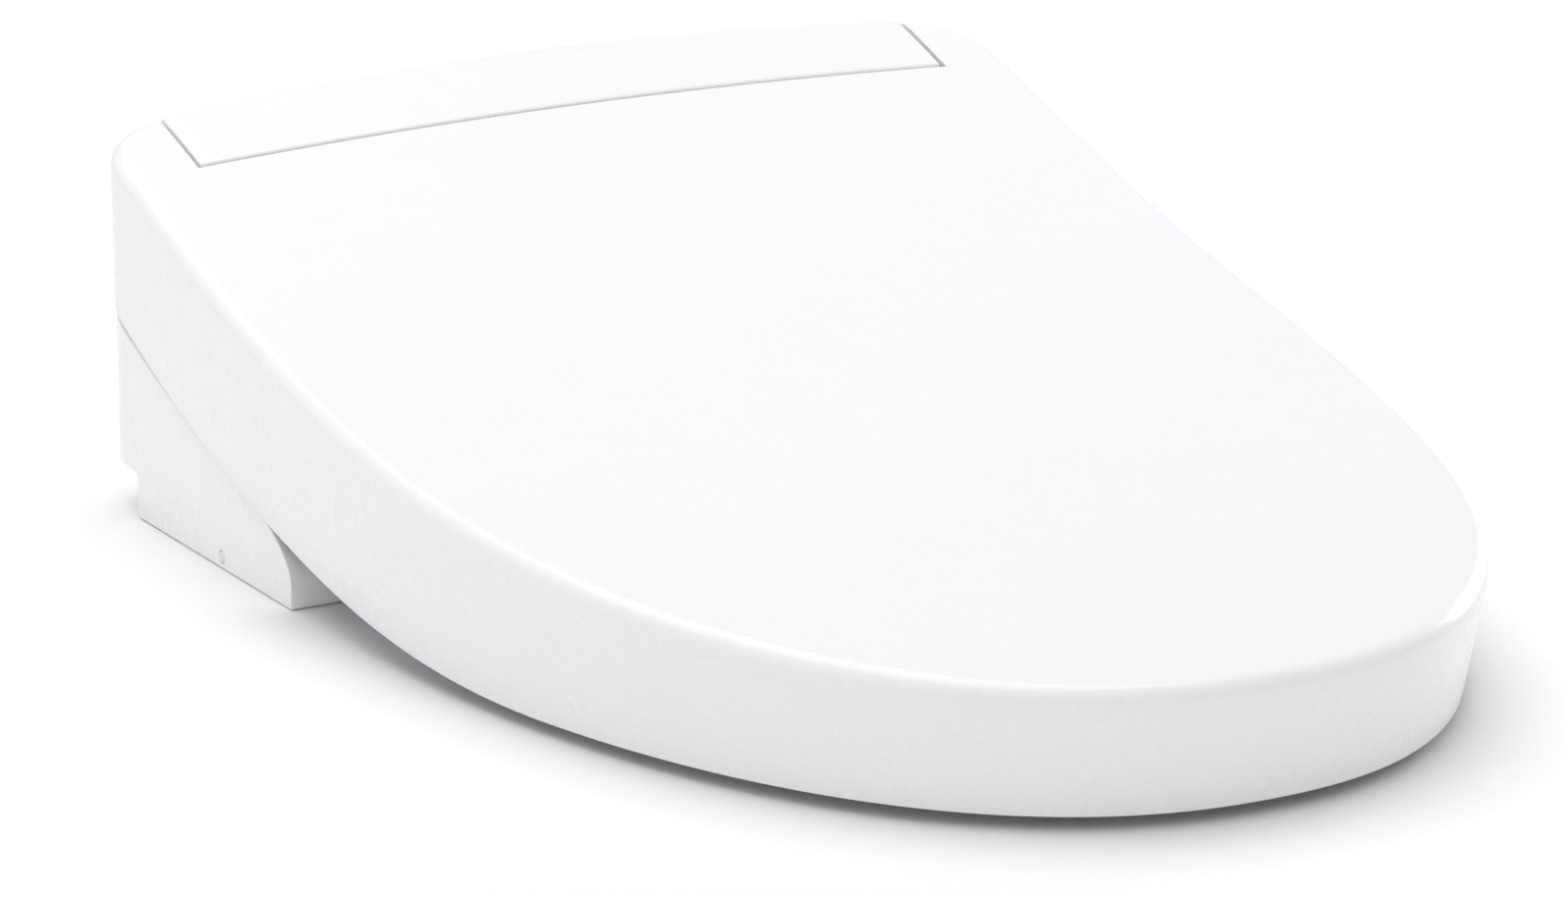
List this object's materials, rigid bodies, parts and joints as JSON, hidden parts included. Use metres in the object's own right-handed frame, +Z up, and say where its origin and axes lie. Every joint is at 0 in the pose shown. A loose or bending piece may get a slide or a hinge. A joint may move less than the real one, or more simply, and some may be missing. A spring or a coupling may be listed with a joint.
{
  "type": "electric bidet seat",
  "caption": "White electric bidet seat: sloping lid over a heated seat, fixed rear panel, and a body with spray wand, heater, dryer and controls on a mounting plate.",
  "frame": {"origin": "midway between the two bowl bolts, on the plane of the bowl's rim, at the mounting plate's underside", "axes": "+Z up, -Y towards the front of the seat, +X to the right as seen from the front"},
  "size_m": [0.383, 0.531, 0.1487],
  "materials": {
    "white_gloss": "glossy",
    "white_matte": "satin",
    "grey_plastic": "satin",
    "dark_plastic": "matte",
    "steel": "brushed",
    "brass": "satin",
    "rubber": "matte",
    "board_green": "matte",
    "heater_foil": "satin",
    "smoke_window": "glossy"
  },
  "bodies": {
    "main_body": {"breaker_hose": "rubber", "carbon_filter": "dark_plastic", "case_screw_1": "steel", "case_screw_2": "steel", "case_screw_3": "steel", "case_screw_4": "steel", "control_board": "board_green", "deodorizer_housing": "grey_plastic", "deodorizer_motor": "steel", "dryer_duct": "grey_plastic", "dryer_heater": "heater_foil", "dryer_housing": "grey_plastic", "dryer_motor": "steel", "flow_motor": "dark_plastic", "flow_valve": "grey_plastic", "hinge_pin_left": "steel", "hinge_pin_right": "steel", "inlet_hose": "rubber", "inlet_valve": "white_matte", "lid_damper": "dark_plastic", "lower_case": "white_gloss", "mounting_plate": "steel", "nozzle_guide": "grey_plastic", "nozzle_motor": "steel", "power_board": "board_green", "power_inlet": "dark_plastic", "pump": "dark_plastic", "rear_top_panel": "white_gloss", "seat_damper": "dark_plastic", "sensor_window": "smoke_window", "side_plug": "white_matte", "transformer": "steel", "upper_case": "white_gloss", "vacuum_breaker": "white_matte", "water_heater": "white_matte", "water_inlet": "brass"},
    "lid": {"lid_shell": "white_gloss", "lid_hinge_bracket_left": "white_matte", "lid_hinge_bracket_right": "white_matte"},
    "seat": {"seat_top": "white_gloss", "seat_bottom": "white_matte", "seat_heater": "heater_foil", "seat_bumper_front_left": "rubber", "seat_bumper_front_right": "rubber", "seat_bumper_rear_left": "rubber", "seat_bumper_rear_right": "rubber", "hinge_bush_left": "grey_plastic", "hinge_bush_right": "grey_plastic"},
    "spray_wand": {"wand": "steel", "wand_tip": "white_matte"},
    "gate_flap": {"nozzle_gate": "white_gloss"},
    "wand_pinion": {"nozzle_pinion": "white_matte"},
    "air_flap": {"dryer_flap": "white_gloss"},
    "dryer_fan": {"dryer_impeller": "dark_plastic"},
    "odour_fan": {"deodorizer_fan": "dark_plastic"},
    "drain_knob": {"drain_plug": "grey_plastic"},
    "power_key": {"power_button": "grey_plastic"},
    "rinse_key": {"rinse_button": "white_matte"},
    "release_key": {"release_button": "white_matte", "release_latch": "steel"}
  },
  "joints": [
    {"name": "seat_hinge", "type": "hinge", "parent": "main_body", "child": "seat", "pos_m": [0, 0.064, 0.121], "axis": [-1, 0, 0], "range_deg": [0, 95]},
    {"name": "lid_hinge", "type": "hinge", "parent": "seat", "child": "lid", "pos_m": [0, 0.064, 0.121], "axis": [1, 0, 0], "range_deg": [-105, 0]},
    {"name": "wand_slide", "type": "slide", "parent": "main_body", "child": "spray_wand", "axis": [0, -0.9336, -0.3584], "range_m": [0, 0.14]},
    {"name": "gate_hinge", "type": "hinge", "parent": "main_body", "child": "gate_flap", "pos_m": [0, -0.0865, 0.03], "axis": [-1, 0, 0], "range_deg": [0, 85]},
    {"name": "pinion_spin", "type": "hinge", "parent": "main_body", "child": "wand_pinion", "pos_m": [0, 0.0348, 0.08221], "axis": [1, 0, 0], "range_deg": [-1010, 10]},
    {"name": "dryer_flap_hinge", "type": "hinge", "parent": "main_body", "child": "air_flap", "pos_m": [0.052, -0.0865, 0.029], "axis": [-1, 0, 0], "range_deg": [0, 50], "stiffness_Nm_per_rad": 0.01, "springref_deg": -17.19},
    {"name": "dryer_fan_spin", "type": "hinge", "parent": "main_body", "child": "dryer_fan", "pos_m": [0.084, 0.003, 0.019], "axis": [0, 0, 1], "continuous": true},
    {"name": "odour_fan_spin", "type": "hinge", "parent": "main_body", "child": "odour_fan", "pos_m": [0.126, -0.052, 0.018], "axis": [0, 0, 1], "continuous": true},
    {"name": "drain_plug_turn", "type": "hinge", "parent": "main_body", "child": "drain_knob", "pos_m": [-0.1, 0.054, 0.0105], "axis": [0, 0, 1], "range_deg": [0, 90]},
    {"name": "power_button_push", "type": "slide", "parent": "main_body", "child": "power_key", "axis": [-1, 0, 0], "range_m": [0, 0.001], "stiffness_N_per_m": 400, "springref_m": -0.001},
    {"name": "rinse_button_push", "type": "slide", "parent": "main_body", "child": "rinse_key", "axis": [-1, 0, 0], "range_m": [0, 0.001], "stiffness_N_per_m": 400, "springref_m": -0.001},
    {"name": "release_button_push", "type": "slide", "parent": "main_body", "child": "release_key", "axis": [-1, 0, 0], "range_m": [0, 0.004], "stiffness_N_per_m": 600, "springref_m": -0.002}
  ],
  "couplings": [
    {"joint": "gate_hinge", "follows": "wand_slide", "rad_per_m": 10.472},
    {"joint": "pinion_spin", "follows": "wand_slide", "rad_per_m": -125}
  ]
}
